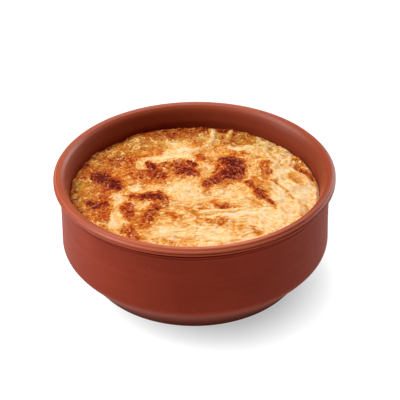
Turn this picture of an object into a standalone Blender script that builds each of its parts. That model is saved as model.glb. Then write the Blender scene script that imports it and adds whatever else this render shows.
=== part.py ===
"""A dish of om ali: a turned clay bowl filled to just under its lip with baked pastry pudding.

Metres, +Z up. The bowl stands on the table at z = 0 with its axis on Z, and -Y is its front.
"""

import math

import bmesh
import bpy
from mathutils import Vector, noise

MM = 0.001

# Bowl: the sizes that drive its turned profile.
RIM_RADIUS = 62.0 * MM  # the outermost bead of the lip
HEIGHT = 50.3 * MM  # the crest of the lip above the table
WALL_TOP_RADIUS = 59.1 * MM  # outside of the wall, just under the lip
WALL_LOW_RADIUS = 59.7 * MM  # outside of the wall, where the turned chamfer cuts in
CHAMFER_TOP = 15.6 * MM
CHAMFER_HOLLOW = 0.35 * MM  # the chamfer is cut slightly hollow
BASE_RADIUS = 47.2 * MM
EDGE_ROUND = 1.8 * MM  # softness of the edge between wall and chamfer
BASE_ROUND = 0.7 * MM
FLOOR_THICKNESS = 5.2 * MM
FLOOR_RADIUS = 38.0 * MM  # the flat of the inside
INSIDE_TURN_TOP = 20.0 * MM  # where the inside has turned from floor to wall
INSIDE_TURN_STEPS = 5
INSIDE_LOW_RADIUS = 54.4 * MM  # inside of the wall, at the top of that turn
INSIDE_HIGH_RADIUS = 55.5 * MM  # inside of the wall, where it starts to flare into the lip
INSIDE_FLARE_DROP = 7.3 * MM  # how far under the crest that flare starts
CREST_RADIUS = 59.9 * MM
BOWL_STEPS = 72

# Pudding: it fills the bowl to FILL_LEVEL, with a browned skin in low folds and lumps.
FILL_LEVEL = 39.5 * MM
GAP = 0.3 * MM  # clear space between pudding and clay
DOME = 0.9 * MM
SWELL_SIZE = 17.0 * MM
SWELL_HEIGHT = 0.9 * MM
LUMP_SIZE = 6.5 * MM
LUMP_HEIGHT = 0.8 * MM
EDGE_PULL = 1.7 * MM  # how far the skin has shrunk from the wall on its right side
EDGE_DROP = 1.5 * MM
SIDE_TOP = 33.0 * MM
TOP_RINGS = 28

# Raised folds of pastry in the skin, as (start, corner, end, half width, height) in mm.
FOLDS = [
    ((9, 51), (9, 40), (1, 33), 1.9, 1.1),
    ((17, 49), (13, 44), (9, 41), 1.6, 0.8),
    ((22, -19), (12, -17), (3, -19), 1.9, 0.7),
    ((24, 6), (24, -5), (34, -15), 1.9, 0.8),
    ((-24, 24), (-14, 23), (-2, 25), 1.9, 0.7),
    ((-36, -2), (-35, -16), (-30, -28), 2.2, 0.7),
    ((44, 15), (49, 9), (51, 2), 1.6, 0.8),
    ((-28, -22), (-24, -20), (-22, -26), 1.6, 0.6),
]
# Hollows in the skin, as (centre, radius, depth) in mm.
HOLLOWS = [
    ((14, 50), 2.2, 1.6),
    ((35.5, 34), 1.7, 1.0),
    ((47.5, 14), 1.8, 0.9),
    ((-12, 42), 4.0, 0.5),
    ((6, 12), 5.0, 0.6),
    ((-25, 0), 5.0, 0.5),
]


def smoothstep(value):
    value = min(max(value, 0.0), 1.0)
    return value * value * (3.0 - 2.0 * value)


def bend(start, corner, end, steps):
    """Points on the curve that leaves start towards corner and turns to end, without its two ends."""
    points = []
    for step in range(1, steps):
        t = step / steps
        points.append(
            tuple(
                (1 - t) ** 2 * first + 2 * t * (1 - t) * middle + t * t * last
                for first, middle, last in zip(start, corner, end)
            )
        )
    return points


def lip_profile():
    """The lip from its inner shoulder over the crest: two beads and a thin ridge, then the undercut."""
    crest = (CREST_RADIUS, HEIGHT)
    inner = [
        (CREST_RADIUS - 3.6 * MM, HEIGHT - 4.4 * MM),
        (CREST_RADIUS - 2.5 * MM, HEIGHT - 1.9 * MM),
        (CREST_RADIUS - 1.5 * MM, HEIGHT - 0.6 * MM),
    ]
    upper_bead = [
        (CREST_RADIUS + 0.9 * MM, HEIGHT - 0.1 * MM),
        (RIM_RADIUS - 0.8 * MM, HEIGHT - 0.45 * MM),
        (RIM_RADIUS - 0.2 * MM, HEIGHT - 0.8 * MM),
        (RIM_RADIUS, HEIGHT - 1.25 * MM),
        (RIM_RADIUS - 0.1 * MM, HEIGHT - 1.7 * MM),
    ]
    ridge = [
        (RIM_RADIUS - 0.55 * MM, HEIGHT - 2.0 * MM),
        (RIM_RADIUS - 0.15 * MM, HEIGHT - 2.4 * MM),
        (RIM_RADIUS - 0.3 * MM, HEIGHT - 3.0 * MM),
    ]
    undercut = [
        (WALL_TOP_RADIUS + 1.0 * MM, HEIGHT - 4.1 * MM),
        (WALL_TOP_RADIUS, HEIGHT - 4.7 * MM),
    ]
    return inner + [crest] + upper_bead + ridge + undercut


def inside_profile():
    """(radius, height) of the inside, from the middle of the floor up to where the lip's flare starts."""
    floor_edge = (FLOOR_RADIUS, FLOOR_THICKNESS)
    turn_top = (INSIDE_LOW_RADIUS, INSIDE_TURN_TOP)
    turn = bend(floor_edge, (INSIDE_LOW_RADIUS, FLOOR_THICKNESS), turn_top, INSIDE_TURN_STEPS)
    wall = [turn_top, (INSIDE_HIGH_RADIUS, HEIGHT - INSIDE_FLARE_DROP)]
    return [(0.0, FLOOR_THICKNESS), floor_edge] + turn + wall


def outside_profile():
    """(radius, height) of the outside, from the undercut of the lip down to the middle of the base."""
    throwing_line = [
        (WALL_TOP_RADIUS + 0.05 * MM, HEIGHT - 6.2 * MM),
        (WALL_TOP_RADIUS - 0.1 * MM, HEIGHT - 6.7 * MM),
        (WALL_TOP_RADIUS + 0.15 * MM, HEIGHT - 7.3 * MM),
    ]
    wall_end = (WALL_LOW_RADIUS, CHAMFER_TOP + EDGE_ROUND)
    edge = (WALL_LOW_RADIUS, CHAMFER_TOP)
    base_edge = (BASE_RADIUS, 0.0)

    def on_chamfer(share):
        hollow = CHAMFER_HOLLOW * math.sin(math.pi * share)
        radius = edge[0] + share * (base_edge[0] - edge[0]) - hollow
        return (radius, edge[1] * (1 - share))

    chamfer = [on_chamfer(share) for share in (0.16, 0.35, 0.55, 0.75)]
    foot = on_chamfer(0.95)
    round_in = (BASE_RADIUS - BASE_ROUND, 0.0)
    softened = bend(wall_end, edge, chamfer[0], 5)
    base = [foot] + bend(foot, base_edge, round_in, 3) + [round_in, (0.0, 0.0)]
    return throwing_line + [wall_end] + softened + chamfer + base


def distance_to_fold(x, y, start, corner, end):
    """Distance from (x, y) to the curve that runs from start towards corner and on to end."""
    curve = [start] + bend(start, corner, end, 12) + [end]
    return min(math.hypot(x - point[0], y - point[1]) for point in curve)


def edge_fall(x, y, edge_radius):
    """How far the skin dips at the wall: little on the left, more on the right, where it has shrunk."""
    angle = math.atan2(y, x)
    ragged = noise.noise(Vector((6.0 * math.cos(angle), 6.0 * math.sin(angle), 3.0)))
    pull = 0.35 + 0.45 * (0.5 + 0.5 * math.cos(angle)) + 0.35 * ragged
    start = edge_radius - EDGE_PULL * max(pull, 0.1)
    return EDGE_DROP * max(pull, 0.1) * smoothstep((math.hypot(x, y) - start) / (edge_radius - start))


def skin_height(x, y, edge_radius):
    """Height of the skin over (x, y)."""
    height = DOME * (1 - (math.hypot(x, y) / edge_radius) ** 2)
    height += SWELL_HEIGHT * noise.noise(Vector((x / SWELL_SIZE, y / SWELL_SIZE, 0.7)))
    height += LUMP_HEIGHT * noise.noise(Vector((x / LUMP_SIZE, y / LUMP_SIZE, 5.3)))
    for start, corner, end, half_width, rise in FOLDS:
        away = distance_to_fold(x / MM, y / MM, start, corner, end)
        height += rise * MM * math.exp(-((away / half_width) ** 2))
    for centre, radius, depth in HOLLOWS:
        away = math.hypot(x / MM - centre[0], y / MM - centre[1])
        height -= depth * MM * math.exp(-((away / radius) ** 2))
    return FILL_LEVEL + height - edge_fall(x, y, edge_radius)


def disc_faces(rings):
    """Triangles of a disc whose ring k holds 6 k points, as indices into centre, ring 1, ring 2 and on."""

    def index(ring, place):
        if ring == 0:
            return 0
        return 1 + 3 * ring * (ring - 1) + place % (6 * ring)

    faces = []
    for ring in range(1, rings + 1):
        for sector in range(6):
            for place in range(ring):
                outer = sector * ring + place
                inner = sector * (ring - 1) + place
                faces.append((index(ring, outer), index(ring, outer + 1), index(ring - 1, inner)))
                if place < ring - 1:
                    faces.append(
                        (index(ring, outer + 1), index(ring - 1, inner + 1), index(ring - 1, inner))
                    )
    return faces


def inside_radius(height):
    """Radius of the bowl's inside at a height above its floor."""
    points = inside_profile()
    for low, high in zip(points, points[1:]):
        if low[1] < high[1] and low[1] <= height <= high[1]:
            share = (height - low[1]) / (high[1] - low[1])
            return low[0] + share * (high[0] - low[0])
    return FLOOR_RADIUS


def clay():
    material = bpy.data.materials.new("terracotta")
    material.use_nodes = True
    shader = material.node_tree.nodes["Principled BSDF"]
    shader.inputs["Base Color"].default_value = (0.30, 0.075, 0.045, 1.0)
    shader.inputs["Roughness"].default_value = 0.5
    shader.inputs["Metallic"].default_value = 0.0
    return material


def baked_cream():
    material = bpy.data.materials.new("baked_cream")
    material.use_nodes = True
    shader = material.node_tree.nodes["Principled BSDF"]
    shader.inputs["Base Color"].default_value = (0.80, 0.45, 0.17, 1.0)
    shader.inputs["Roughness"].default_value = 0.45
    shader.inputs["Metallic"].default_value = 0.0
    return material


def add_object(name, mesh, material):
    part = bpy.data.objects.new(name, mesh)
    part.data.materials.append(material)
    bpy.context.collection.objects.link(part)
    return part


def make_bowl(material):
    outline = bmesh.new()
    profile = inside_profile() + lip_profile() + outside_profile()
    points = [outline.verts.new((radius, 0.0, height)) for radius, height in profile]
    for first, second in zip(points, points[1:]):
        outline.edges.new((first, second))
    mesh = bpy.data.meshes.new("bowl")
    outline.to_mesh(mesh)
    outline.free()
    turn = add_object("bowl", mesh, material).modifiers.new("turn", "SCREW")
    turn.axis = "Z"
    turn.steps = BOWL_STEPS
    turn.render_steps = BOWL_STEPS
    turn.use_merge_vertices = True
    turn.merge_threshold = 0.00001
    turn.use_smooth_shade = True


def make_om_ali(material):
    edge_radius = inside_radius(FILL_LEVEL) - GAP
    solid = bmesh.new()
    solid.verts.new((0.0, 0.0, skin_height(0.0, 0.0, edge_radius)))
    for ring in range(1, TOP_RINGS + 1):
        radius = edge_radius * ring / TOP_RINGS
        for place in range(6 * ring):
            angle = 2 * math.pi * place / (6 * ring)
            x = radius * math.cos(angle)
            y = radius * math.sin(angle)
            solid.verts.new((x, y, skin_height(x, y, edge_radius)))
    solid.verts.ensure_lookup_table()
    for corners in disc_faces(TOP_RINGS):
        solid.faces.new([solid.verts[corner] for corner in corners])

    inside = inside_profile()[1 : 2 + INSIDE_TURN_STEPS]
    side = [(inside_radius(SIDE_TOP), SIDE_TOP)] + inside[::-1]
    loop = [edge for edge in solid.edges if edge.is_boundary]
    for clay_radius, clay_height in side:
        radius = clay_radius - GAP
        height = clay_height + GAP
        made = bmesh.ops.extrude_edge_only(solid, edges=loop)["geom"]
        for vertex in (item for item in made if isinstance(item, bmesh.types.BMVert)):
            angle = math.atan2(vertex.co.y, vertex.co.x)
            vertex.co = (radius * math.cos(angle), radius * math.sin(angle), height)
        loop = [item for item in made if isinstance(item, bmesh.types.BMEdge)]
    bmesh.ops.edgeloop_fill(solid, edges=loop)
    bmesh.ops.recalc_face_normals(solid, faces=solid.faces)
    mesh = bpy.data.meshes.new("om_ali")
    solid.to_mesh(mesh)
    solid.free()
    add_object("om_ali", mesh, material)
    mesh.shade_smooth()
    mesh.set_sharp_from_angle(angle=math.radians(50))


def main():
    for old in list(bpy.data.objects):
        bpy.data.objects.remove(old, do_unlink=True)
    make_bowl(clay())
    make_om_ali(baked_cream())


main()
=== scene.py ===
"""The look of a dish of om ali: a turned clay bowl filled with baked pastry pudding.

Metres and +Z up, in the frame of the solids. The bowl's axis is Z, and the photograph looks along +Y.
Places on the pudding are in millimetres from its middle, x to the right and y to the back.
"""

import math

import bpy
import numpy as np
from mathutils import Matrix, Vector, noise


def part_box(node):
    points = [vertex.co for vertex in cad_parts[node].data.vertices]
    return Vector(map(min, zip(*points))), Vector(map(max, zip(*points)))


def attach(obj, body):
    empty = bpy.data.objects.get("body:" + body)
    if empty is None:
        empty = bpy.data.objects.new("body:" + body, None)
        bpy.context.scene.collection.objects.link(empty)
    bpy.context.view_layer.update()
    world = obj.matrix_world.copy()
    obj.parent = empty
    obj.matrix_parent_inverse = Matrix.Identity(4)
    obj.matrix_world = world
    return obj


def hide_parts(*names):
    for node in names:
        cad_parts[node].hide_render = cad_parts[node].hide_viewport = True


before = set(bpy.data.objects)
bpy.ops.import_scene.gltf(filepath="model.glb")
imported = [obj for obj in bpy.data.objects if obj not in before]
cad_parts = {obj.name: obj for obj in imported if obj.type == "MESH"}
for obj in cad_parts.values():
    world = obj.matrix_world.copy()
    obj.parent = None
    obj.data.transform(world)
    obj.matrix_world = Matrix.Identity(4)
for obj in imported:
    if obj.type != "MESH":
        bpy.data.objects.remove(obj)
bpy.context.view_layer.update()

MM = 0.001

# The solids' own boxes give the sizes that drive the rest.
BOWL_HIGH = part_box("bowl")[1]
RIM_RADIUS = BOWL_HIGH.x
HEIGHT = BOWL_HIGH.z

# Camera: fitted to the bowl's outline in the photograph.
CAMERA_ELEVATION = math.radians(33.24)
CAMERA_DISTANCE = 10.0 * 62.0 * MM  # ten times the lip's radius
CAMERA_ROLL = math.radians(-0.6)
CAMERA_AIM = Vector((2.3, 0.0, 34.0)) * MM
LENS = 125.5  # mm
SENSOR_WIDTH = 36.0  # mm

# Bowl: the turned profile of the solid, with finer steps and the marks of the wheel.
WALL_TOP_RADIUS = 59.1 * MM
WALL_LOW_RADIUS = 59.7 * MM
CHAMFER_TOP = 15.6 * MM
CHAMFER_HOLLOW = 0.35 * MM
BASE_RADIUS = 47.2 * MM
EDGE_ROUND = 1.8 * MM
BASE_ROUND = 0.7 * MM
FLOOR_THICKNESS = 5.2 * MM
FLOOR_RADIUS = 38.0 * MM
INSIDE_TURN_TOP = 20.0 * MM
INSIDE_TURN_STEPS = 5
INSIDE_LOW_RADIUS = 54.4 * MM
INSIDE_HIGH_RADIUS = 55.5 * MM
INSIDE_FLARE_DROP = 7.3 * MM
CREST_RADIUS = 59.9 * MM
BOWL_SEGMENTS = 216
LIP_BOTTOM = 42.5 * MM
# Longest steps of the profile: on the lip, on the walls, and on the floor and the base.
LIP_STEP = 0.7 * MM
WALL_STEP = 2.4 * MM
HIDDEN_STEP = 6.0 * MM
# Marks of the wheel, in mm.
RING_SPACING = 1.3
RING_DEPTH = 0.035
WAVE_DEPTH = 0.05

# Pudding: its level, and the relief that the solid has too.
FILL_LEVEL = 39.5 * MM
GAP = 0.3 * MM
DOME = 0.9 * MM
SWELL_SIZE = 17.0 * MM
SWELL_HEIGHT = 0.9 * MM
SWELL_SLICE = 0.7
LUMP_SIZE = 6.5 * MM
LUMP_HEIGHT = 0.8 * MM
LUMP_SLICE = 5.3
EDGE_PULL = 1.7 * MM
EDGE_DROP = 1.5 * MM
SIDE_TOP = 33.0 * MM
FOLD_SHARE = 0.7
SKIN_RINGS = 165

# Skin: sizes, widths and heights of its fine features, in mm.
BLISTER_SIZE = 1.7
BLISTER_RISE = 0.42
PIMPLE_SIZE = 0.9
PIMPLE_RISE = 0.08
SPARK_SIZE = 1.3
GRAIN_SIZE = 1.9
GRAIN_RISE = 0.45
CRUST_RISE = 0.2
THREAD_RISE = 0.12
BROWN_THREAD_RISE = 0.30
FILM_RISE = 0.22
CREST_RISE = 0.30
BESIDE_DROP = 0.15
CRUMB_RISE = 0.12
UNEVEN_RISE = 0.20
CREASE_WIDTH = 0.6
EDGE_WIDTH = 0.65
GLOW_REACH = 2.5
# How baked parts of it are, from 0, pale cream, to 1, nearly black.
CREAM_TONE = 0.16
# The next tone is painted shade, along the clay's edge on the left and at the back.
RIM_SHADE_TONE = 0.74
PIT_TONE = 0.55
FOLD_TONE = 0.06
HIGH_FOLD_TONE = 0.14
EDGE_TONE = 0.04
# Value of every mask on the side and the underside, which don't show.
HIDDEN_VALUE = 0.15

# Raised folds of pastry in the skin, as (start, corner, end, half width, height).
FOLDS = [
    ((9, 51), (12, 37), (-1, 31.5), 1.8, 1.1),
    ((17, 49), (16.5, 41), (11, 39), 1.3, 0.6),
    ((22, -19), (12, -17), (3, -19), 1.9, 0.7),
    ((24, 6), (24, -5), (34, -15), 1.9, 0.8),
    ((-24, 24), (-14, 23), (-2, 25), 1.9, 0.7),
    ((-36, -2), (-35, -16), (-30, -28), 2.2, 0.7),
    ((44, 15), (49, 9), (51, 2), 1.6, 0.8),
    ((-28, -22), (-24, -20), (-22, -26), 1.6, 0.6),
]
# Hollows in the skin, as (centre, radius, depth).
HOLLOWS = [
    ((14, 50), 2.2, 1.6),
    ((35.5, 34), 1.7, 1.0),
    ((47.5, 14), 1.8, 0.9),
    ((-12, 42), 4.0, 0.5),
    ((6, 12), 5.0, 0.6),
    ((-25, 0), 5.0, 0.5),
]

# Browned patches, as strokes (start, corner, end, half width, browning, spotting): spotting says how much the
# patch breaks up into blisters.
PATCHES = [
    # left
    ((-42.5, 10), (-39, 6), (-35.5, 2), 3.9, 1.0, 0.12),
    ((-33.5, 0), (-32, -3), (-30.8, -6), 0.6, 0.42, 0.1),
    ((-45, 15), (-40, 16), (-34, 12), 3.0, 0.58, 0.3),
    ((-46, -11), (-43, -12), (-39.5, -10.5), 2.2, 0.94, 0.15),
    ((-40, -4), (-39, -8), (-39, -14), 2.2, 0.64, 0.4),
    ((-40.5, -19), (-40, -20), (-40, -22), 1.7, 0.78, 0.3),
    ((-49, -16), (-47, -18), (-44, -22), 2.2, 0.6, 0.3),
    ((-29.5, -14), (-28.8, -17), (-28.2, -21), 2.5, 0.76, 0.1),
    ((-28, -32), (-27.5, -35), (-26, -38.5), 2.3, 0.77, 0.5),
    ((-22.5, -24), (-22, -27), (-21, -29), 1.9, 0.64, 0.6),
    ((-17, -15.5), (-18.5, -19), (-20, -24), 2.2, 0.80, 0.5),
    # middle left
    ((-27, -6.5), (-20, -6), (-14, -9), 2.4, 0.82, 0.3),
    ((-20, -6.5), (-18, -7), (-16, -7.5), 2.6, 0.98, 0.1),
    ((-15, -3), (-16, -4), (-16, -6), 0.9, 0.9, 0.1),
    ((-14.5, -10), (-13.5, -12), (-13.5, -14), 1.8, 0.62, 0.4),
    ((-21, 20.5), (-20, 19), (-18.5, 17), 1.5, 0.9, 0.2),
    ((-36.5, 24), (-32.5, 27), (-29, 25), 3.1, 0.73, 0.3),
    ((-29, 26), (-29, 24), (-28.5, 21), 1.2, 0.74, 0.4),
    ((-29, 18), (-28, 15), (-26, 11), 2.5, 0.64, 0.4),
    ((-25, 11), (-20, 11), (-16, 9), 4.2, 0.74, 0.85),
    ((-19, 14), (-17, 14), (-15.5, 12), 1.8, 0.9, 0.3),
    # middle
    ((-14, 18), (-11, 18), (-8, 18), 2.2, 0.66, 0.4),
    ((-7, 17.5), (-5, 15), (-4, 11.5), 4.1, 0.72, 0.6),
    ((-7, 18.5), (-8, 17), (-7, 14), 1.7, 0.88, 0.3),
    ((-3, 15), (-2.8, 13), (-1.8, 11), 2.0, 0.95, 0.3),
    ((-3, 14), (-1, 14), (1, 12.5), 1.9, 0.80, 0.4),
    ((-2, 21), (-1, 20), (0, 18), 1.4, 0.9, 0.2),
    ((2, 27), (4, 26), (4, 24), 1.7, 0.72, 0.4),
    ((3, 25), (5, 22.5), (8, 24), 2.2, 0.52, 0.4),
    # the darkest patch, right of the middle, and its tail
    ((15.5, 23), (17, 17), (15.5, 10), 3.3, 0.98, 0.2),
    ((17, 19), (17.5, 15), (16.5, 10), 2.4, 1.0, 0.1),
    ((20, 21), (21, 16), (19, 10), 2.3, 0.88, 0.3),
    ((12.8, 26), (13.5, 24), (14.5, 21), 1.1, 0.72, 0.4),
    ((21, 18.5), (22.5, 18.5), (24.5, 18), 0.9, 0.7, 0.5),
    ((18, 29.5), (20.5, 29.5), (23, 27.5), 1.5, 0.6, 0.5),
    ((17, 12), (13, 10), (10, 8), 2.4, 0.92, 0.25),
    ((9, 6), (7, 5), (4.5, 3.5), 2.2, 0.94, 0.25),
    ((10, 14), (11, 17), (12, 19), 1.5, 0.8, 0.5),
    ((6.5, 2), (6, 0), (5, -3), 1.1, 0.62, 0.3),
    ((18, 7), (15, 6), (12, 3), 1.8, 0.60, 0.5),
    # right
    ((31.5, 20), (32, 16), (32, 11), 2.0, 0.66, 0.4),
    ((31, 13), (32, 12), (33, 12), 1.3, 0.78, 0.3),
    ((24.2, 5.5), (25, 0), (29, -5.5), 1.2, 0.80, 0.2),
    ((28, -4), (30, -8), (34, -13), 1.35, 0.86, 0.15),
    ((28.5, 6), (30.5, 2), (32, -4), 1.8, 0.42, 0.7),
    ((34, -12), (34, -14), (34.5, -16), 0.9, 0.5, 0.2),
    ((46, 24), (48, 21), (48.5, 18), 1.6, 0.56, 0.4),
    ((45.5, 18), (50.8, 14.2), (53, 6), 0.7, 0.78, 0.1),
    # front
    ((8, -9), (8, -11), (8, -13), 1.4, 0.56, 0.3),
    ((2, -12.5), (6, -14), (14, -14.5), 1.2, 0.47, 0.3),
    ((10.5, -13.8), (12, -13.8), (13.5, -14.1), 1.4, 0.74, 0.3),
    ((5.5, -24.5), (8.5, -28.5), (11.5, -27.5), 1.5, 0.60, 0.8),
    ((10, -22.8), (12, -24), (13, -26), 0.9, 0.60, 0.4),
    ((25, -34), (26.5, -34.3), (28, -34.2), 0.8, 0.50, 0.0),
    ((16, -30.5), (20, -31.5), (24, -32.5), 1.9, 0.33, 0.2),
    ((-4, -43), (-3, -43.5), (-1, -44), 0.8, 0.48, 0.3),
    ((-12, -39), (-11, -40), (-9, -41), 0.9, 0.46, 0.3),
    ((-11, -20.5), (-9, -21), (-7.5, -23), 1.5, 0.62, 0.4),
    ((-4, -15.5), (-2, -17), (-1, -19), 1.2, 0.53, 0.4),
    ((0, -22), (0.5, -24), (1.5, -27), 0.9, 0.48, 0.3),
    # back
    ((20, 44), (22, 43), (25, 42), 2.9, 0.58, 0.5),
    ((13, 40), (19, 38), (26, 39), 1.6, 0.54, 0.3),
    ((0, 40), (2, 39), (3, 36), 1.7, 0.6, 0.5),
    ((-18, 47), (-15, 46), (-11, 48), 2.4, 0.62, 0.4),
    ((-1, 49), (-2, 46), (-2, 42), 1.8, 0.6, 0.4),
    ((-41, 36), (-41, 33), (-42, 29), 1.5, 0.56, 0.3),
]

# Where the skin is more or less baked, as (centre, half width, half depth, turn in degrees, browning). Its
# left and its back are darkest: baked most, and partly painted shade from the clay wall.
ZONES = [
    ((-49, 2), 16, 34, 0, 0.48),
    ((-35, 36), 24, 15, 40, 0.51),
    ((-34, 21), 14, 9, 0, 0.54),
    ((-50, 14), 6, 6, 0, 0.62),
    ((-3, 52), 28, 9, 0, 0.76),
    ((5, 39), 9, 9, 0, 0.38),
    ((20, 43), 10, 8, 0, 0.47),
    ((-22, 34), 10, 8, 0, 0.52),
    ((37, 31), 15, 13, -40, 0.17),
    ((14, 33), 7, 8, 0, 0.38),
    ((18, 30), 7, 4, 0, 0.42),
    ((4, 15), 15, 15, 0, 0.33),
    ((27, 15), 9, 15, 0, 0.31),
    ((31, -2), 8, 13, -20, 0.29),
    ((-25, 11), 14, 11, 0, 0.46),
    ((-21, -17), 13, 14, 0, 0.36),
    ((-44, -22), 12, 13, 0, 0.55),
    ((-2, -16), 10, 6, 0, 0.27),
    ((13, -10), 9, 4.0, 0, 0.21),
    ((6.5, -26), 7, 5, 0, 0.25),
    ((-26, -36), 8, 7, 0, 0.34),
    ((46, 8), 5, 5, 0, 0.38),
    ((-15, 5), 4, 4, 0, 0.36),
    ((-8, -27), 5, 3.5, 0, 0.32),
    ((48, 21), 4.5, 6, 0, 0.29),
    ((-9, -41), 9, 4.5, 0, 0.33),
]
# Smooth islands where the cream stayed pale, in the same form.
ISLANDS = [
    ((-7.4, 27.8), 7.5, 7.0, 0, 0.13),
    ((-15, 24.5), 7.5, 2.2, 8, 0.08),
    ((-23, 20.5), 3.2, 4.0, 0, 0.04),
    ((-3.5, 0.5), 5.8, 8.0, -25, 0.13),
    ((-33, -22), 3.2, 8.0, -12, 0.12),
    ((-33, -8), 2.5, 6.0, -20, 0.14),
    ((21, 34.5), 5.0, 2.6, 0, 0.07),
    ((6.5, 16), 2.4, 3.6, -20, 0.24),
    ((42, -6), 10.0, 13.0, 0, 0.06),
    ((38, 12), 5.0, 6.0, 0, 0.06),
    ((45.5, 8.0), 3.6, 4.2, 0, 0.41),
    ((36, -20), 12.0, 8.0, 35, 0.10),
    ((9, -34), 7.0, 5.0, 0, 0.11),
    ((16, -19), 13.0, 3.0, 2, 0.02),
    ((-27, 0), 4.0, 2.2, 0, 0.09),
    ((29, -27), 4.0, 6.0, 10, 0.12),
    ((-10, -35), 7.0, 5.0, 0, 0.12),
]
# Where the skin broke into grains, as (centre, half width, half depth, turn in degrees).
GRAINY = [
    ((36, 31), 17, 13, -42),
    ((20, 42), 9, 7, 0),
    ((29, 5), 7, 11, -20),
    ((10, -26), 7, 4, 0),
    ((21, -33), 7, 4, 20),
    ((-5, -20), 8, 5, 0),
    ((-22, -24), 7, 7, 0),
]
# Thin dents, as (start, corner, end, depth).
CREASES = [
    ((45, 17.5), (50, 14.5), (52.8, 6), 0.8),
    ((36, 4.5), (40, -1), (43.5, -8), 0.6),
    ((30, 7), (35, 5), (38, 2), 0.4),
    ((48, -13), (49, -15), (49, -17), 0.6),
    ((-36, -3), (-35, -1), (-32, 1), 0.4),
    ((2, -20.5), (10, -20.5), (19, -18), 0.15),
    ((5, -15.8), (12, -16), (20, -15), 0.25),
    ((10.5, 47), (10.5, 42), (8.5, 37), 0.5),
    ((5.5, 47), (5, 42), (4, 39), 0.4),
]
# Thin raised lines where the pastry's layers end, as (start, corner, end, rise).
EDGES = [
    ((8.4, 50), (11, 36.5), (-1, 31), 0.35),
    ((17, 49), (16.3, 40.8), (11, 38.7), 0.2),
    ((43.5, 16), (48.6, 13), (51.4, 4.5), 0.7),
    ((4, -18.5), (11, -19), (19, -16.2), 0.5),
    ((20, -16), (26, -15), (33, -16.5), 0.35),
    ((36.5, 37.5), (37.5, 35), (37, 32), 0.5),
    ((34, 4), (35, -1), (38.5, -6), 0.4),
    ((40, 12), (41.5, 5), (46, 1), 0.3),
    ((44, -10), (46, -15), (44, -21), 0.4),
    ((39, -16), (42, -20), (41, -25), 0.35),
    ((28, -22), (29, -27), (27, -31), 0.4),
    ((18, -28), (18.5, -31), (17.5, -34), 0.35),
    ((-26, -23), (-22, -20), (-19.5, -24), 0.5),
    ((-34, -13), (-34, -20), (-29, -29), 0.4),
    ((-18, 20), (-12, 22), (-2, 24), 0.4),
    ((-23, 17), (-24, 20), (-21, 23), 0.4),
    ((-10, -12), (-4, -14), (2, -14), 0.35),
]

# Colours of the skin from pale cream to nearly black, as (browning, colour).
BAKING_COLOURS = [
    (0.0, (0.94, 0.70, 0.41)),
    (0.10, (0.925, 0.60, 0.275)),
    (0.20, (0.895, 0.49, 0.165)),
    (0.30, (0.83, 0.375, 0.088)),
    (0.40, (0.725, 0.265, 0.040)),
    (0.50, (0.61, 0.180, 0.018)),
    (0.60, (0.555, 0.110, 0.009)),
    (0.72, (0.455, 0.051, 0.004)),
    (0.85, (0.240, 0.013, 0.001)),
    (1.0, (0.090, 0.003, 0.001)),
]

# Table: half its width in metres, and the middle of the shadow painted into its glow around the bowl.
TABLE_HALF = 3.0
PAINTED_SHADOW_MIDDLE = (7.4 * MM, -10.7 * MM, 0.0)
# Soft boxes, as (name, place, size in metres, power in watts).
LIGHTS = [
    ("left", (-0.77, 0.0, 1.02), 0.3, 7.4),
    ("left_low", (-1.16, 0.0, 0.50), 0.7, 6.1),
    ("back", (0.07, 0.77, 1.02), 0.3, 4.8),
    ("right_back", (0.82, 0.82, 0.50), 0.7, 7.9),
    ("top", (0.0, 0.0, 1.3), 0.8, 4.6),
]


def smoothstep(low, high, value):
    """0 under low and 1 over high, with a soft step between them."""
    share = np.clip((value - low) / (high - low), 0.0, 1.0)
    return share * share * (3.0 - 2.0 * share)


def lattice_noise(x, y, seed):
    """Smooth noise from about -1 to 1, from random slopes on a lattice one unit apart."""
    slopes = np.random.default_rng(seed).uniform(0.0, 2.0 * math.pi, (64, 64))
    column = np.floor(x).astype(int)
    row = np.floor(y).astype(int)
    across = x - column
    along = y - row
    blend_x = across * across * (3.0 - 2.0 * across)
    blend_y = along * along * (3.0 - 2.0 * along)
    total = np.zeros_like(x)
    for right in (0, 1):
        for up in (0, 1):
            angle = slopes[(column + right) % 64, (row + up) % 64]
            weight = (blend_x if right else 1.0 - blend_x) * (blend_y if up else 1.0 - blend_y)
            total += weight * (np.cos(angle) * (across - right) + np.sin(angle) * (along - up))
    return 1.5 * total


def rough_noise(x, y, size, octaves, seed):
    """Layers of lattice noise, each half as large and half as strong as the one before."""
    total = np.zeros_like(x)
    for octave in range(octaves):
        scale = size / 2**octave
        total += lattice_noise(x / scale, y / scale, seed + octave) / 2**octave
    return total


def blisters(x, y, size, seed):
    """Round domes from 0 to 1 of uneven width, about one to a square of the given size."""
    draw = np.random.default_rng(seed)
    shift = draw.random((64, 64, 2))
    widths = draw.uniform(0.3, 0.72, (64, 64))
    x = x / size
    y = y / size
    column = np.floor(x).astype(int)
    row = np.floor(y).astype(int)
    height = np.zeros_like(x)
    for right in (-1, 0, 1):
        for up in (-1, 0, 1):
            place = ((column + right) % 64, (row + up) % 64)
            offset = shift[place]
            away = np.hypot(x - column - right - offset[:, 0], y - row - up - offset[:, 1])
            dome = np.clip(1.0 - (away / widths[place]) ** 2, 0.0, 1.0) * widths[place] / 0.72
            height = np.maximum(height, dome)
    return height


def patchy(x, y, size, seed):
    """Smooth noise from about -1 to 1 whose features are that size across."""
    return lattice_noise(x / size, y / size, seed)


def bell(away, width):
    """1 where away is 0, falling to nearly 0 at twice the width on both sides."""
    return np.exp(-((away / width) ** 2))


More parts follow.
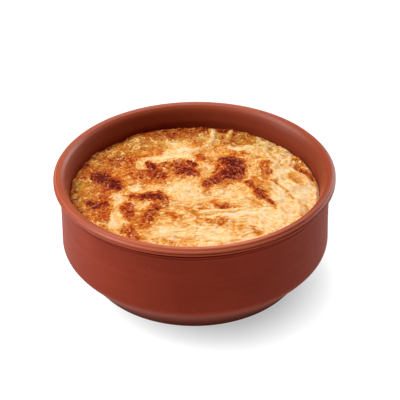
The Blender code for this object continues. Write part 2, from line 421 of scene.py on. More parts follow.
def bend(start, corner, end, steps):
    """Points on the curve that leaves start towards corner and turns to end, both ends included."""
    points = []
    for step in range(steps + 1):
        t = step / steps
        points.append(
            tuple(
                (1 - t) ** 2 * first + 2 * t * (1 - t) * middle + t * t * last
                for first, middle, last in zip(start, corner, end)
            )
        )
    return points


def distance_to_stroke(x, y, start, corner, end):
    """Distance from each point to the curve from start towards corner and on to end."""
    nearest = np.full_like(x, np.inf)
    points = bend(start, corner, end, 7)
    for (from_x, from_y), (to_x, to_y) in zip(points, points[1:]):
        along_x = to_x - from_x
        along_y = to_y - from_y
        share = ((x - from_x) * along_x + (y - from_y) * along_y) / (along_x**2 + along_y**2)
        share = np.clip(share, 0.0, 1.0)
        away = (x - from_x - share * along_x) ** 2 + (y - from_y - share * along_y) ** 2
        nearest = np.minimum(nearest, away)
    return np.sqrt(nearest)


# ---------------------------------------------------------------- bowl


def below_top(radius, offsets):
    """Points of the profile from (out from the radius, down from the top of the lip) in mm."""
    return [(radius + out * MM, HEIGHT - down * MM) for out, down in offsets]


def lip_profile():
    """The lip from its inner shoulder over the crest: two beads and a thin ridge, then the undercut."""
    crest = [(-3.6, 4.4), (-2.5, 1.9), (-1.5, 0.6), (0.0, 0.0), (0.8, 0.15)]
    upper_bead = [(-1.0, 0.45), (-0.95, 0.85), (-0.35, 1.15), (-0.05, 1.4), (0.0, 1.65)]
    ridge = [(-0.45, 1.95), (-0.4, 2.1), (-0.05, 2.4), (0.0, 2.75), (-0.15, 3.1), (-0.8, 3.6)]
    undercut = [(0.9, 4.1), (0.0, 4.6), (-0.5, 5.1), (-0.5, 5.4), (0.05, 5.8)]
    outer = below_top(RIM_RADIUS, upper_bead + ridge)
    return below_top(CREST_RADIUS, crest) + outer + below_top(WALL_TOP_RADIUS, undercut)


def inside_profile():
    """(radius, height) of the inside, from the middle of the floor up to where the lip's flare starts."""
    floor_edge = (FLOOR_RADIUS, FLOOR_THICKNESS)
    turn_top = (INSIDE_LOW_RADIUS, INSIDE_TURN_TOP)
    turn = bend(floor_edge, (INSIDE_LOW_RADIUS, FLOOR_THICKNESS), turn_top, INSIDE_TURN_STEPS)
    return [(0.0, FLOOR_THICKNESS)] + turn + [(INSIDE_HIGH_RADIUS, HEIGHT - INSIDE_FLARE_DROP)]


def outside_profile():
    """(radius, height) of the outside, from the undercut of the lip down to the middle of the base."""
    throwing_line = below_top(WALL_TOP_RADIUS, [(-0.05, 6.5), (0.2, 6.9), (0.1, 7.8)])
    wall_end = (WALL_LOW_RADIUS, CHAMFER_TOP + EDGE_ROUND)
    edge = (WALL_LOW_RADIUS, CHAMFER_TOP)

    def on_chamfer(share):
        hollow = CHAMFER_HOLLOW * math.sin(math.pi * share)
        radius = edge[0] + share * (BASE_RADIUS - edge[0]) - hollow
        return (radius, edge[1] * (1 - share))

    chamfer = [on_chamfer(share) for share in np.linspace(0.16, 0.95, 12)]
    base = bend(chamfer[-1], (BASE_RADIUS, 0.0), (BASE_RADIUS - BASE_ROUND, 0.0), 4)
    return throwing_line + bend(wall_end, edge, chamfer[0], 8) + chamfer[1:-1] + base + [(0.0, 0.0)]


def finer(profile):
    """The profile with short steps, shortest on the lip, and every corner cut twice, which rounds it."""
    points = [np.array(profile[0])]
    for start, end in zip(profile, profile[1:]):
        start = np.array(start)
        end = np.array(end)
        if min(start[1], end[1]) > LIP_BOTTOM:
            longest = LIP_STEP
        elif min(start[0], end[0]) > FLOOR_RADIUS:
            longest = WALL_STEP
        else:
            longest = HIDDEN_STEP
        pieces = math.ceil(np.linalg.norm(end - start) / longest)
        points += [start + (end - start) * step / pieces for step in range(1, pieces + 1)]
    for _ in range(2):
        cut = [points[0]]
        for start, end in zip(points, points[1:]):
            cut += [0.75 * start + 0.25 * end, 0.25 * start + 0.75 * end]
        points = cut + [points[-1]]
    return np.array(points)


def wheel_marks(height, angle):
    """How far the wheel's soft rings and the clay's unevenness stand back from the turned surface."""
    drift = height / MM + 0.25 * np.sin(angle + 1.0)
    rings = RING_DEPTH * (1.0 + lattice_noise(drift / RING_SPACING, 0.4 * np.cos(angle) + 3.0, seed=11))
    waves = WAVE_DEPTH * (1.0 + lattice_noise(drift / 9.0, 1.6 * np.cos(angle) + 5.0, seed=12))
    waves += WAVE_DEPTH * (1.0 + lattice_noise(drift / 14.0, 1.6 * np.sin(angle) + 9.0, seed=13))
    return (rings + waves) * MM


def make_mesh(name, points, faces, material):
    mesh = bpy.data.meshes.new(name)
    mesh.from_pydata(points, [], faces)
    mesh.materials.append(material)
    mesh.shade_smooth()
    piece = bpy.data.objects.new(name, mesh)
    bpy.context.scene.collection.objects.link(piece)
    return piece


def make_bowl(material):
    profile = finer(inside_profile() + lip_profile() + outside_profile())
    middle = profile[1:-1]
    angles = 2.0 * math.pi * np.arange(BOWL_SEGMENTS) / BOWL_SEGMENTS
    radius, turn = np.meshgrid(middle[:, 0], angles, indexing="ij")
    height = np.broadcast_to(middle[:, 1:], radius.shape)
    # The marks fade out on the floor and towards the base.
    worn = smoothstep(0.5 * MM, 6.0 * MM, height) * smoothstep(20.0 * MM, 40.0 * MM, radius)
    radius = radius - worn * wheel_marks(height, turn)
    rings = np.stack([radius * np.cos(turn), radius * np.sin(turn), height], axis=-1)
    ends = [(0.0, 0.0, profile[0][1]), (0.0, 0.0, profile[-1][1])]
    points = [tuple(point) for point in rings.reshape(-1, 3)] + ends
    count = len(middle)
    faces = []
    for place in range(BOWL_SEGMENTS):
        beside = (place + 1) % BOWL_SEGMENTS
        for ring in range(count - 1):
            low = ring * BOWL_SEGMENTS
            high = low + BOWL_SEGMENTS
            faces.append((low + place, low + beside, high + beside, high + place))
        last = (count - 1) * BOWL_SEGMENTS
        faces.append((count * BOWL_SEGMENTS, beside, place))
        faces.append((last + place, last + beside, count * BOWL_SEGMENTS + 1))
    return make_mesh("clay_bowl", points, faces, material)


# ---------------------------------------------------------------- pudding


def inside_radius(height):
    """Radius of the bowl's inside at a height above its floor."""
    points = inside_profile()
    return float(np.interp(height, [point[1] for point in points], [point[0] for point in points]))


def solid_noise(x, y, size, slice_height):
    """The same smooth noise that shapes the solid's skin."""
    return np.array(
        [noise.noise(Vector((px, py, slice_height))) for px, py in zip(x / size, y / size)]
    )


def solid_relief(x, y, edge_radius):
    """Height of the skin over each point, as the solid has it. All in metres."""
    away_from_middle = np.hypot(x, y)
    height = DOME * (1 - (away_from_middle / edge_radius) ** 2)
    height += SWELL_HEIGHT * solid_noise(x, y, SWELL_SIZE, SWELL_SLICE)
    height += LUMP_HEIGHT * solid_noise(x, y, LUMP_SIZE, LUMP_SLICE)
    for *stroke, half_width, rise in FOLDS:
        away = distance_to_stroke(x / MM, y / MM, *stroke)
        height += FOLD_SHARE * rise * MM * bell(away, half_width)
    for centre, radius, depth in HOLLOWS:
        away = np.hypot(x / MM - centre[0], y / MM - centre[1])
        height -= depth * MM * bell(away, radius)
    # The edge sank where the skin pulled away from the clay, most of all on the right.
    angle = np.arctan2(y, x)
    ragged = np.array(
        [noise.noise(Vector((6 * math.cos(turn), 6 * math.sin(turn), 3.0))) for turn in angle]
    )
    pull = np.maximum(0.35 + 0.45 * (0.5 + 0.5 * np.cos(angle)) + 0.35 * ragged, 0.1)
    start = edge_radius - EDGE_PULL * pull
    fall = EDGE_DROP * pull * smoothstep(0.0, 1.0, (away_from_middle - start) / (edge_radius - start))
    return FILL_LEVEL + height - fall


def streaks(x, y, turn, length, width, seed):
    """Noise drawn out along a line that is turned so many degrees from the x axis."""
    cosine = math.cos(math.radians(turn))
    sine = math.sin(math.radians(turn))
    along = (x * cosine + y * sine) * width / length
    return rough_noise(along, y * cosine - x * sine, width, 2, seed)


def sides(x, y):
    """1 on the left and 1 on the right, where the pastry lies in other directions than in the middle."""
    return 1.0 - smoothstep(-34.0, -22.0, x), smoothstep(18.0, 30.0, x + 0.2 * y)


def drawn_film(x, y):
    """Noise from about -1 to 1 that follows the pastry: level in front, falling to the right on the right."""
    left, right = sides(x, y)
    front = 1.0 - smoothstep(-14.0, -3.0, y)
    bent = y + 2.0 * patchy(x, y, 14.0, seed=81)
    film = rough_noise(x, y, 2.4, 2, seed=82)
    film += front * (streaks(x, bent, turn=2.0, length=9.0, width=1.7, seed=84) - film)
    film += left * (streaks(x, bent, turn=55.0, length=6.0, width=1.7, seed=86) - film)
    film += right * (streaks(x, bent, turn=-40.0, length=7.0, width=1.7, seed=88) - film)
    return film


def drawn_folds(x, y):
    """Thin folds drawn out in the skin: how near each point is to a crest, and to the hollow beside it."""
    left, right = sides(x, y)
    bent = y + 3.0 * patchy(x, y, 11.0, seed=71)
    value = streaks(x, bent, turn=4.0, length=10.0, width=4.2, seed=72)
    value += right * (streaks(x, bent, turn=-42.0, length=11.0, width=3.4, seed=74) - value)
    value += left * (streaks(x, bent, turn=60.0, length=7.0, width=4.0, seed=76) - value)
    present = smoothstep(-0.1, 0.25, patchy(x, y, 6.0, seed=78))
    return present * bell(value, 0.14), present * bell(value - 0.34, 0.14)


def threads(x, y):
    """Thin curled crests of the skin, from 0 beside them to 1 on top."""
    winding = np.abs(rough_noise(x, y, 6.0, 2, seed=52))
    present = smoothstep(-0.15, 0.15, patchy(x, y, 4.0, seed=54))
    return present * (1.0 - smoothstep(0.02, 0.14, winding))


def inside_ellipse(x, y, ellipse, soft, ragged):
    """1 well inside a turned ellipse and 0 well outside it, with an edge that soft, shifted by ragged."""
    centre, half_width, half_depth, turn = ellipse
    cosine = math.cos(math.radians(turn))
    sine = math.sin(math.radians(turn))
    across = ((x - centre[0]) * cosine + (y - centre[1]) * sine) / half_width
    along = ((y - centre[1]) * cosine - (x - centre[0]) * sine) / half_depth
    return 1.0 - smoothstep(1.0 - soft, 1.0 + soft, np.hypot(across, along) + ragged)


def grainy(x, y):
    """How far the skin broke into grains, from 0 to 1."""
    share = np.zeros_like(x)
    ragged = 0.3 * patchy(x, y, 3.0, seed=95)
    for ellipse in GRAINY:
        share = np.maximum(share, inside_ellipse(x, y, ellipse, 0.3, ragged))
    return share


def side_of(x, y):
    """1 at the back left of the bowl, falling to -1 at its front right."""
    return (0.75 * y - 0.65 * x) / np.maximum(np.hypot(x, y), 1.0)


class Skin:
    """The pudding's skin over points in mm: masks from 0 to 1, and the relief that the solid doesn't have."""

    def __init__(self, x, y):
        self.x = x
        self.y = y
        self.coarse = rough_noise(x, y, 4.2, 2, seed=31)
        self.grain = rough_noise(x, y, 2.0, 2, seed=35)
        self.fleck = rough_noise(x, y, 1.2, 2, seed=37)
        self.crumb = rough_noise(x, y, 1.5, 2, seed=91)
        self.ragged = 0.4 * self.coarse + 0.4 * self.grain + 0.3 * self.fleck
        self.film = drawn_film(x, y)
        self.crest, self.beside = drawn_folds(x, y)
        self.threads = threads(x, y)
        self.domes = blisters(x, y, BLISTER_SIZE, seed=61)
        self.grains = blisters(x, y, GRAIN_SIZE, seed=64)
        self.grainy = grainy(x, y)

        # The places pushed about, so that outlines wander, and pushed a little, for lines that break up.
        self.warp_x = x + 1.2 * patchy(x, y, 5.0, seed=21) + 0.5 * patchy(x, y, 1.9, seed=22)
        self.warp_y = y + 1.2 * patchy(x, y, 5.0, seed=23) + 0.5 * patchy(x, y, 1.9, seed=24)
        self.drift_x = x + 0.8 * patchy(x, y, 2.8, seed=96)
        self.drift_y = y + 0.8 * patchy(x, y, 2.8, seed=97)
        self.broken = smoothstep(-0.5, 0.3, patchy(x, y, 3.3, seed=98))

        self.baked = np.full_like(x, CREAM_TONE)
        self.calm = np.zeros_like(x)
        self.patches = [
            (distance_to_stroke(self.warp_x, self.warp_y, *stroke), half_width, browned, spotting)
            for *stroke, half_width, browned, spotting in PATCHES
        ]
        self.lay_zones()
        self.lay_glow()
        self.lay_islands()
        self.lay_folds()
        self.mottle()
        self.lay_lines()
        self.blistered = 0.3 * smoothstep(0.25, 0.5, self.baked)
        self.brown_patches()
        self.raise_high_folds()
        self.wet = self.draw_curls()
        self.baked = np.clip(self.baked, 0.0, 1.0)
        self.blistered = np.clip(self.blistered, 0.0, 1.0)
        # Painted shade along the clay on the left and at the back, which makes the colour yellower.
        near_clay = smoothstep(47.0, 57.0, np.hypot(x - 4.0, y + 12.0) + self.ragged)
        self.shade_and_yellowing = near_clay * smoothstep(-0.5, 0.1, side_of(x, y))

    def away_from(self, stroke):
        """Distance to a stroke from the places pushed a little."""
        return distance_to_stroke(self.drift_x, self.drift_y, *stroke)

    def towards(self, tone, share):
        """Moves the browning that share of the way to a tone."""
        self.baked += share * (tone - self.baked)

    def lay_zones(self):
        """The broad zones, and a darker edge of painted shade along the clay on the left and at the back."""
        for *ellipse, tone in ZONES:
            self.towards(tone, inside_ellipse(self.warp_x, self.warp_y, ellipse, 0.35, 0.3 * self.ragged))
        side = smoothstep(-0.1, 0.6, side_of(self.x, self.y))
        from_middle = np.hypot(self.x, self.y)
        self.towards(RIM_SHADE_TONE, side * smoothstep(51.5, 54.0, from_middle + 1.5 * self.ragged))

    def lay_glow(self):
        """Each patch glows gold some way out into the cream."""
        for away, half_width, browned, _ in self.patches:
            glow = (0.25 + 0.20 * browned) * np.exp(-np.maximum(away - half_width, 0.0) / GLOW_REACH)
            self.baked = np.maximum(self.baked, glow + 0.05 * self.ragged)

    def lay_islands(self):
        """Smooth pale islands cover the glow, and are calm."""
        for *ellipse, tone in ISLANDS:
            inside = inside_ellipse(self.warp_x, self.warp_y, ellipse, 0.22, 0.25 * self.ragged)
            self.towards(tone, inside)
            self.calm = np.maximum(self.calm, inside)

    def lay_folds(self):
        """Folds: pale on top, golden beside as painted shade; deep hollows brown, partly painted shade."""
        for *stroke, half_width, _ in FOLDS:
            away = self.away_from(stroke)
            self.baked += 0.12 * (1.0 - self.calm) * bell(away - 1.9 * half_width, 0.7 * half_width)
            self.towards(FOLD_TONE, (0.5 + 0.4 * self.broken) * bell(away, 0.8 * half_width))
        for centre, radius, depth in HOLLOWS:
            away = np.hypot(self.x - centre[0], self.y - centre[1]) + 0.5 * self.ragged
            pit = smoothstep(0.6, 1.2, depth) * bell(away, radius)
            self.baked += 1.2 * pit * np.maximum(PIT_TONE - self.baked, 0.0)

    def mottle(self):
        """Mottling; raised skin paler and hollows golden, as painted shade; the calm islands vary least."""
        lively = (0.5 + 0.3 * smoothstep(0.10, 0.30, self.baked)) * (1.0 - 0.6 * self.calm)
        amber = smoothstep(0.30, 0.42, self.baked)
        mottled = (0.08 + 0.07 * amber) * self.coarse + (0.05 + 0.03 * amber) * self.grain
        self.baked += lively * (mottled - 0.11 * self.film)
        cream = 1.0 - smoothstep(0.3, 0.5, self.baked)
        self.baked += cream * (1.0 - 0.7 * self.calm) * (0.13 * self.beside - 0.12 * self.crest)
        self.baked -= (0.08 - 0.04 * amber) * self.crumb
        self.baked += self.grainy * (0.11 - 0.30 * self.grains)

    def lay_lines(self):
        """Dents are dark; the ends of the pastry's layers are pale, with a golden border of painted shade."""
        for *stroke, depth in CREASES:
            away = distance_to_stroke(self.x, self.y, *stroke)
            self.baked = np.maximum(self.baked, (0.26 + 0.36 * depth) * bell(away, 0.8))
        for *stroke, _ in EDGES:
            away = self.away_from(stroke)
            self.baked += 0.15 * self.broken * bell(away - 1.6, 0.7)
            self.towards(EDGE_TONE, 0.9 * self.broken * bell(away, 0.75))

    def brown_patches(self):
        """Patches have a ragged, soft edge, and spotted ones stay paler on the blisters."""
        domes = smoothstep(0.35, 0.8, self.domes)
        for away, half_width, browned, spotting in self.patches:
            share = away / half_width + 0.6 * self.ragged + 0.15 * self.fleck
            inside = 1.0 - 0.55 * smoothstep(0.45, 1.5, share) - 0.45 * smoothstep(0.6, 2.4, share)
            tone = browned + 0.03 - 0.40 * spotting * domes + 0.17 * self.grain - 0.12 * self.fleck
            self.baked += inside * np.maximum(tone - self.baked, 0.0)
            self.blistered = np.maximum(self.blistered, inside * (0.45 + 0.55 * spotting))

    def raise_high_folds(self):
        """The highest folds show pale across the patches too."""
        for *stroke, half_width, rise in FOLDS:
            away = self.away_from(stroke)
            share = smoothstep(0.8, 1.1, rise) * (0.15 + 0.6 * self.broken)
            self.towards(HIGH_FOLD_TONE, share * bell(away, 0.8 * half_width))

    def draw_curls(self):
        """Pales thin curls, and some blisters as partly painted glints; gives how wet the skin looks."""
        dark = smoothstep(0.7, 0.9, self.baked)
        curls = self.threads * smoothstep(0.18, 0.36, self.baked) * (1.0 - 0.8 * dark)
        self.baked -= curls * (0.11 + 0.13 * smoothstep(0.25, 0.5, self.baked))
        # Pale grains on the blisters, partly painted glints.
        sparks = smoothstep(0.55, 0.85, blisters(self.x, self.y, SPARK_SIZE, seed=63)) * self.blistered
        self.baked -= 0.36 * sparks * smoothstep(0.35, 0.6, self.baked)
        return np.maximum(0.4 * curls, self.blistered * smoothstep(0.6, 0.9, self.domes))

    def relief(self):
        """Height in mm of what is finer than the solid's relief."""
        creased = smoothstep(0.13, 0.32, self.baked)
        relief = CRUST_RISE * smoothstep(0.3, 0.8, self.baked)
        relief += (THREAD_RISE + BROWN_THREAD_RISE * creased) * self.threads
        relief += FILM_RISE * self.film
        relief += CREST_RISE * self.crest - BESIDE_DROP * self.beside
        relief += BLISTER_RISE * self.blistered * self.domes
        relief += PIMPLE_RISE * creased * blisters(self.x, self.y, PIMPLE_SIZE, seed=62)
        relief += CRUMB_RISE * self.crumb
        relief += UNEVEN_RISE * patchy(self.x, self.y, 3.4, seed=73)
        relief += GRAIN_RISE * self.grainy * self.grains
        for *stroke, depth in CREASES:
            relief -= depth * bell(distance_to_stroke(self.x, self.y, *stroke), CREASE_WIDTH)
        for *stroke, rise in EDGES:
            away = self.away_from(stroke)
            relief += rise * self.broken * bell(away, EDGE_WIDTH)
        return relief


def disc_faces(rings):
    """Triangles of a disc whose ring k holds 6 k points, as indices into centre, ring 1, ring 2 and on."""

    def index(ring, place):
        if ring == 0:
            return 0
        return 1 + 3 * ring * (ring - 1) + place % (6 * ring)

    faces = []
    for ring in range(1, rings + 1):
        for sector in range(6):
            for place in range(ring):
                outer = sector * ring + place
                inner = sector * (ring - 1) + place
                faces.append((index(ring, outer), index(ring, outer + 1), index(ring - 1, inner)))
                if place < ring - 1:
                    faces.append(
                        (index(ring, outer + 1), index(ring - 1, inner + 1), index(ring - 1, inner))
                    )
    return faces


def make_pudding(material):
    edge_radius = inside_radius(FILL_LEVEL) - GAP
    ring = np.concatenate([[0]] + [np.full(6 * k, k) for k in range(1, SKIN_RINGS + 1)])
    place = np.concatenate([[0]] + [np.arange(6 * k) for k in range(1, SKIN_RINGS + 1)])
    radius = edge_radius * ring / SKIN_RINGS
    angle = 2.0 * math.pi * place / np.maximum(6 * ring, 1)
    x = radius * np.cos(angle)
    y = radius * np.sin(angle)
    skin = Skin(x / MM, y / MM)
    height = solid_relief(x, y, edge_radius) + MM * skin.relief()
    points = [tuple(point) for point in np.stack([x, y, height], axis=-1)]
    faces = disc_faces(SKIN_RINGS)

    # The side goes down the inside of the clay, and the underside closes it.
    around = 6 * SKIN_RINGS
    above = len(points) - around
    inside = inside_profile()[1 : 2 + INSIDE_TURN_STEPS]
    for clay_radius, clay_height in [(inside_radius(SIDE_TOP), SIDE_TOP)] + inside[::-1]:
        below = len(points)
        for step in range(around):
            turn = 2.0 * math.pi * step / around
            side_radius = clay_radius - GAP
            points.append((side_radius * math.cos(turn), side_radius * math.sin(turn), clay_height + GAP))
        for step in range(around):
            beside = (step + 1) % around
            faces.append((above + beside, above + step, below + step, below + beside))
        above = below
    points.append((0.0, 0.0, FLOOR_THICKNESS + GAP))
    faces += [(above + (step + 1) % around, above + step, len(points) - 1) for step in range(around)]

    piece = make_mesh("baked_pudding", points, faces, material)
    hidden = np.full(len(points) - len(x), HIDDEN_VALUE)
    masks = {"baked": skin.baked, "wet": skin.wet, "shade_and_yellowing": skin.shade_and_yellowing, "calm": skin.calm}
    for name, values in masks.items():
        attribute = piece.data.attributes.new(name, "FLOAT", "POINT")
        attribute.data.foreach_set("value", np.append(values, hidden).astype(np.float32))
    return piece


# ---------------------------------------------------------------- materials


class Nodes:
    """A material's node tree, with short calls for the nodes that are used here."""

    def __init__(self, name):
        self.material = bpy.data.materials.new(name)
        self.material.use_nodes = True
        self.tree = self.material.node_tree
        self.shader = self.tree.nodes["Principled BSDF"]
        self.place = self.add("ShaderNodeTexCoord").outputs["Object"]

    def add(self, kind, **settings):
        node = self.tree.nodes.new(kind)
        for name, value in settings.items():
            setattr(node, name, value)
        return node

    def link(self, source, socket):
        """Gives a socket a constant or another node's output."""
        if isinstance(source, (int, float, tuple)):
            socket.default_value = source
        else:
            self.tree.links.new(source, socket)

    def shade(self, sockets):
        """Gives the shader's sockets their constants and outputs."""
        for name, source in sockets.items():
            self.link(source, self.shader.inputs[name])

    def axes(self):
        """x, y and z of the place, in metres."""
        node = self.add("ShaderNodeSeparateXYZ")
        self.link(self.place, node.inputs[0])
        return node.outputs

    def attribute(self, name):
        return self.add("ShaderNodeAttribute", attribute_name=name).outputs["Fac"]

    def noise(self, size, detail=2.0, roughness=0.5, longer=(1.0, 1.0, 1.0), turn=0.0):
        """Noise from 0 to 1 with features about size across, drawn out along axes turned about Z."""
        drawn = self.add("ShaderNodeMapping", vector_type="TEXTURE")
        self.link(self.place, drawn.inputs["Vector"])
        drawn.inputs["Rotation"].default_value = (0.0, 0.0, math.radians(turn))
        drawn.inputs["Scale"].default_value = longer
        node = self.add("ShaderNodeTexNoise")
        self.link(drawn.outputs[0], node.inputs["Vector"])
        node.inputs["Scale"].default_value = 1.0 / size
        node.inputs["Detail"].default_value = detail
        node.inputs["Roughness"].default_value = roughness
        return node.outputs["Fac"]

    def clouds(self, size, detail, low, high, most):
        """Soft patches: 0 where noise is under low, and most where it is over high."""
        return self.spread(self.noise(size, detail), low, high, 0.0, most)

    def lines(self, size, width):
        """1 along thin winding lines that lie about size metres apart, and 0 beside them."""
        away = self.math("ABSOLUTE", self.less(self.noise(size, 1.0), 0.5))
        return self.spread(away, 0.0, width, 1.0, 0.0)

    def broken_lines(self, size, cloud_size, low, high):
        """Such lines, only within soft patches."""
        return self.times(self.lines(size, 0.06), self.clouds(cloud_size, 1.0, low, high, 1.0))

    def math(self, operation, first, second=0.0):
        node = self.add("ShaderNodeMath", operation=operation)
        self.link(first, node.inputs[0])
        self.link(second, node.inputs[1])
        return node.outputs[0]

    def times(self, first, second):
        return self.math("MULTIPLY", first, second)

    def plus(self, first, second):
        return self.math("ADD", first, second)

    def less(self, first, second):
        return self.math("SUBTRACT", first, second)

    def spread(self, value, low, high, to_low, to_high):
        """The value mapped from low..high to to_low..to_high, and held there outside it."""
        node = self.add("ShaderNodeMapRange")
        for socket, number in zip(node.inputs, (value, low, high, to_low, to_high)):
            self.link(number, socket)
        return node.outputs[0]

    def blend(self, share, first, second):
        """A number between first, at share 0, and second, at share 1."""
        node = self.add("ShaderNodeMix")
        for socket, number in zip((node.inputs[0], node.inputs[2], node.inputs[3]), (share, first, second)):
            self.link(number, socket)
        return node.outputs[0]

    def ramp(self, value, stops):
        node = self.add("ShaderNodeValToRGB")
        elements = node.color_ramp.elements
        for position, _ in stops[1:-1]:
            elements.new(position)
        for element, (position, colour) in zip(elements, stops):
            element.position = position
            element.color = (*colour, 1.0)
        self.link(value, node.inputs[0])
        return node.outputs[0]

    def mix(self, share, first, second, blend="MIX"):
        node = self.add("ShaderNodeMix", data_type="RGBA", blend_type=blend)
        self.link(share, node.inputs[0])
        for socket, colour in zip((node.inputs[6], node.inputs[7]), (first, second)):
            self.link((*colour, 1.0) if isinstance(colour, tuple) else colour, socket)
        return node.outputs[2]

    def bump(self, height, distance, strength):
        node = self.add("ShaderNodeBump")
        node.inputs["Distance"].default_value = distance
        node.inputs["Strength"].default_value = strength
        self.link(height, node.inputs["Height"])
        self.link(node.outputs[0], self.shader.inputs["Normal"])


def terracotta():
    nodes = Nodes("terracotta")
    x, y, height = nodes.axes()
    away = nodes.math("SQRT", nodes.plus(nodes.times(x, x), nodes.times(y, y)))
    grain = nodes.noise(0.9 * MM, 4.0, 0.65, (1.0, 1.0, 0.63))
    streaks = nodes.noise(7.0 * MM, 3.0, 0.6, (4.0, 4.0, 0.33))
    cloud = nodes.noise(22.0 * MM, 3.0)
    body = nodes.ramp(cloud, [(0.3, (0.238, 0.023, 0.0065)), (0.7, (0.283, 0.030, 0.0088))])
    body = nodes.mix(nodes.spread(streaks, 0.5, 0.75, 0.0, 0.25), body, (0.39, 0.047, 0.015))
    body = nodes.mix(nodes.spread(grain, 0.56, 0.75, 0.0, 0.35), body, (0.22, 0.020, 0.005))
    body = nodes.mix(nodes.clouds(1.5 * MM, 1.0, 0.78, 0.81, 0.4), body, (0.45, 0.14, 0.07))

    # Inside, the clay is a little paler.
    above_base = nodes.spread(height, 5.0 * MM, 9.0 * MM, 0.0, 1.0)
    inside = nodes.spread(away, 57.0 * MM, 58.5 * MM, above_base, 0.0)
    body = nodes.mix(nodes.times(inside, 0.6), body, (0.27, 0.052, 0.022))

    # The lip is paler, partly a painted highlight; it is paler still in front, which is painted light,
    # and darker on the right, which is painted shade.
    lip = nodes.spread(height, 46.5 * MM, 49.3 * MM, 0.0, 1.0)
    in_front = nodes.spread(y, -42.0 * MM, -57.0 * MM, 0.0, 1.0)
    on_right = nodes.spread(x, 25.0 * MM, 56.0 * MM, 0.0, 1.0)
    pale = nodes.mix(in_front, (0.50, 0.094, 0.032), (0.66, 0.135, 0.048))
    pale = nodes.mix(on_right, pale, (0.36, 0.060, 0.020))
    body = nodes.mix(nodes.times(lip, 0.75), body, pale)

    # The foot is darker towards the table, which is painted shade, and duller.
    foot = nodes.spread(height, 0.0, 18.0 * MM, 0.95, 0.0)
    worn = nodes.times(inside, nodes.spread(height, 41.0 * MM, 47.0 * MM, 0.0, 0.45))
    nodes.shade(
        {
            "Base Color": nodes.mix(foot, body, (0.05, 0.004, 0.001)),
            "Roughness": nodes.plus(nodes.spread(grain, 0.3, 0.7, 0.50, 0.62), nodes.times(foot, 0.4)),
            "Coat Weight": nodes.plus(nodes.times(lip, 0.55), worn),
            "Coat Roughness": 0.38,
            "Specular IOR Level": 0.085,
            "Sheen Weight": 0.05,
            "Sheen Roughness": 0.4,
            "Sheen Tint": (1.0, 0.42, 0.28, 1.0),
        }
    )
    nodes.bump(nodes.plus(grain, nodes.times(streaks, 0.6)), 0.05 * MM, 0.6)
    return nodes.material


def skin_grain(nodes):
    """Fine noise from 0 to 1, drawn out along the pastry in front and on the right."""
    x, y, _ = nodes.axes()
    drawn_out = (3.2, 1.0, 1.0)
    fine = nodes.noise(0.9 * MM, 3.0, 0.65)
    level_streaks = nodes.noise(0.8 * MM, 3.0, 0.6, drawn_out, 3.0)
    falling_streaks = nodes.noise(0.8 * MM, 3.0, 0.6, drawn_out, -42.0)
    in_front = nodes.spread(y, -3.0 * MM, -12.0 * MM, 0.0, 0.8)
    off_left = nodes.spread(x, -24.0 * MM, -6.0 * MM, 0.15, 1.0)
    fine = nodes.blend(nodes.times(in_front, off_left), fine, level_streaks)
    return nodes.blend(nodes.spread(x, 20.0 * MM, 32.0 * MM, 0.0, 0.8), fine, falling_streaks)


def skin_colour(nodes, baked, level, in_patch, patch_curls_and_glints):
    """Colour by browning, yellower in painted shade and in clouds, milky in cream and rosy in patches."""
    colour = nodes.ramp(level, BAKING_COLOURS)
    # Painted shade along the clay, and random clouds, make the colour yellower.
    shade_and_yellowing = nodes.times(nodes.attribute("shade_and_yellowing"), 0.8)
    shade_and_yellowing = nodes.plus(shade_and_yellowing, nodes.clouds(5.0 * MM, 2.0, 0.45, 0.65, 0.25))
    shade_and_yellowing = nodes.times(shade_and_yellowing, nodes.spread(level, 0.10, 0.30, 0.0, 1.0))
    colour = nodes.mix(shade_and_yellowing, colour, (0.82, 1.0, 0.92), "MULTIPLY")
    gold = nodes.clouds(3.0 * MM, 2.0, 0.5, 0.7, 0.45)
    colour = nodes.mix(gold, colour, (1.0, 0.97, 0.74), "MULTIPLY")
    cream = nodes.spread(baked, 0.12, 0.28, 1.0, 0.0)
    milky = nodes.times(nodes.clouds(4.0 * MM, 2.0, 0.5, 0.66, 0.7), cream)
    colour = nodes.mix(milky, colour, (0.96, 0.70, 0.47))
    # Pale pinkish grains in the patches, partly painted glints.
    colour = nodes.mix(nodes.times(patch_curls_and_glints, 0.4), colour, (0.84, 0.32, 0.15))
    return nodes.mix(nodes.times(in_patch, 0.06), colour, (0.40, 0.08, 0.05))


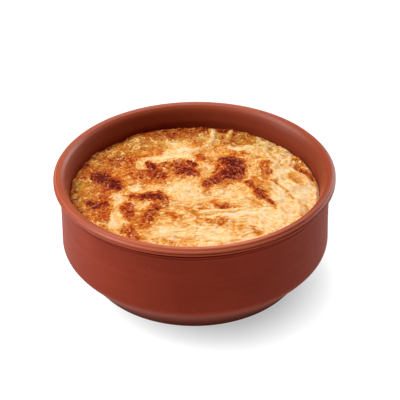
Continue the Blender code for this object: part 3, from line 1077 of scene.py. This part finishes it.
def baked_cream():
    nodes = Nodes("baked_cream")
    baked = nodes.attribute("baked")
    fine = skin_grain(nodes)
    in_patch = nodes.spread(baked, 0.52, 0.66, 0.0, 1.0)
    not_dark = nodes.spread(baked, 0.5, 0.6, 1.0, 0.0)
    in_amber = nodes.times(nodes.spread(baked, 0.26, 0.40, 0.0, 1.0), not_dark)

    # Pale curls wind through the amber skin, and finer ones through the patches, partly painted glints.
    amber_curls = nodes.times(nodes.broken_lines(2.8 * MM, 3.5 * MM, 0.42, 0.56), in_amber)
    patch_curls_and_glints = nodes.times(nodes.broken_lines(1.3 * MM, 2.2 * MM, 0.48, 0.60), in_patch)
    pale = nodes.plus(nodes.times(amber_curls, 0.5), nodes.times(patch_curls_and_glints, 0.5))

    # The fine grain shows most in the cream, and less in amber, in patches and on calm islands.
    contrast = nodes.less(nodes.spread(baked, 0.1, 0.3, 1.85, 1.35), nodes.times(in_amber, 0.75))
    contrast = nodes.less(contrast, nodes.times(in_patch, 0.35))
    contrast = nodes.times(contrast, nodes.spread(nodes.attribute("calm"), 0.2, 0.9, 1.0, 0.6))
    level = nodes.plus(baked, nodes.times(nodes.less(fine, 0.5), contrast))
    level = nodes.less(level, pale)
    nodes.shade(
        {
            "Base Color": skin_colour(nodes, baked, level, in_patch, patch_curls_and_glints),
            "Roughness": nodes.spread(level, 0.1, 0.8, 0.46, 0.36),
            "Coat Weight": nodes.plus(nodes.spread(nodes.attribute("wet"), 0.1, 0.8, 0.0, 0.8), pale),
            "Coat Roughness": 0.15,
            "Specular IOR Level": 0.03,
            "Subsurface Weight": 0.5,
            "Subsurface Radius": (1.0, 0.5, 0.22),
            "Subsurface Scale": 1.2 * MM,
        }
    )
    nodes.bump(nodes.plus(fine, nodes.times(pale, 1.5)), 0.20 * MM, 0.9)
    return nodes.material


def glowing_table_with_painted_shadow():
    """A glowing table: white light, more on the left, and a painted shadow where the bowl stands."""
    nodes = Nodes("glowing_table_with_painted_shadow")
    away = nodes.add("ShaderNodeVectorMath", operation="DISTANCE")
    nodes.link(nodes.place, away.inputs[0])
    nodes.link(PAINTED_SHADOW_MIDDLE, away.inputs[1])
    painted_shadow = nodes.spread(away.outputs["Value"], 36.0 * MM, 57.0 * MM, 0.49, 1.0)
    across = nodes.spread(nodes.axes()[0], -140.0 * MM, 20.0 * MM, 1.5, 0.985)
    nodes.shade(
        {
            "Base Color": (0.12, 0.12, 0.12, 1.0),
            "Roughness": 0.9,
            "Specular IOR Level": 0.1,
            "Emission Color": (1.0, 1.0, 1.0, 1.0),
            "Emission Strength": nodes.times(painted_shadow, across),
        }
    )
    return nodes.material


# ---------------------------------------------------------------- studio


def make_floor():
    corners = [(x * TABLE_HALF, y * TABLE_HALF, 0.0) for x, y in ((-1, -1), (1, -1), (1, 1), (-1, 1))]
    floor = make_mesh("floor", corners, [(0, 1, 2, 3)], glowing_table_with_painted_shadow())


def make_camera():
    data = bpy.data.cameras.new("camera")
    data.lens = LENS
    data.sensor_width = SENSOR_WIDTH
    camera = bpy.data.objects.new("camera", data)
    bpy.context.scene.collection.objects.link(camera)
    away = Vector((0.0, -math.cos(CAMERA_ELEVATION), math.sin(CAMERA_ELEVATION)))
    level = Matrix.Rotation(math.pi / 2 - CAMERA_ELEVATION, 4, "X")
    roll = Matrix.Rotation(CAMERA_ROLL, 4, "Z")
    camera.matrix_world = Matrix.Translation(CAMERA_AIM + CAMERA_DISTANCE * away) @ level @ roll
    bpy.context.scene.camera = camera


def make_light(name, place, size, power):
    """A square soft box that faces the bowl."""
    data = bpy.data.lights.new(name, "AREA")
    data.shape = "SQUARE"
    data.size = size
    data.energy = power
    light = bpy.data.objects.new(name, data)
    bpy.context.scene.collection.objects.link(light)
    light.location = place
    aim = Vector((0.0, 0.0, 0.5 * HEIGHT)) - Vector(place)
    light.rotation_euler = aim.to_track_quat("-Z", "Y").to_euler()


def make_studio():
    world = bpy.data.worlds.new("studio")
    world.use_nodes = True
    background = world.node_tree.nodes["Background"]
    background.inputs["Color"].default_value = (1.0, 1.0, 1.0, 1.0)
    background.inputs["Strength"].default_value = 0.0
    bpy.context.scene.world = world
    bpy.context.scene.view_settings.view_transform = "Standard"
    for light in LIGHTS:
        make_light(*light)


def main():
    make_camera()
    make_studio()
    make_floor()
    bowl = make_bowl(terracotta())
    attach(bowl, "root")
    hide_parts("bowl")
    pudding = make_pudding(baked_cream())
    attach(pudding, "root")
    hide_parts("om_ali")


main()
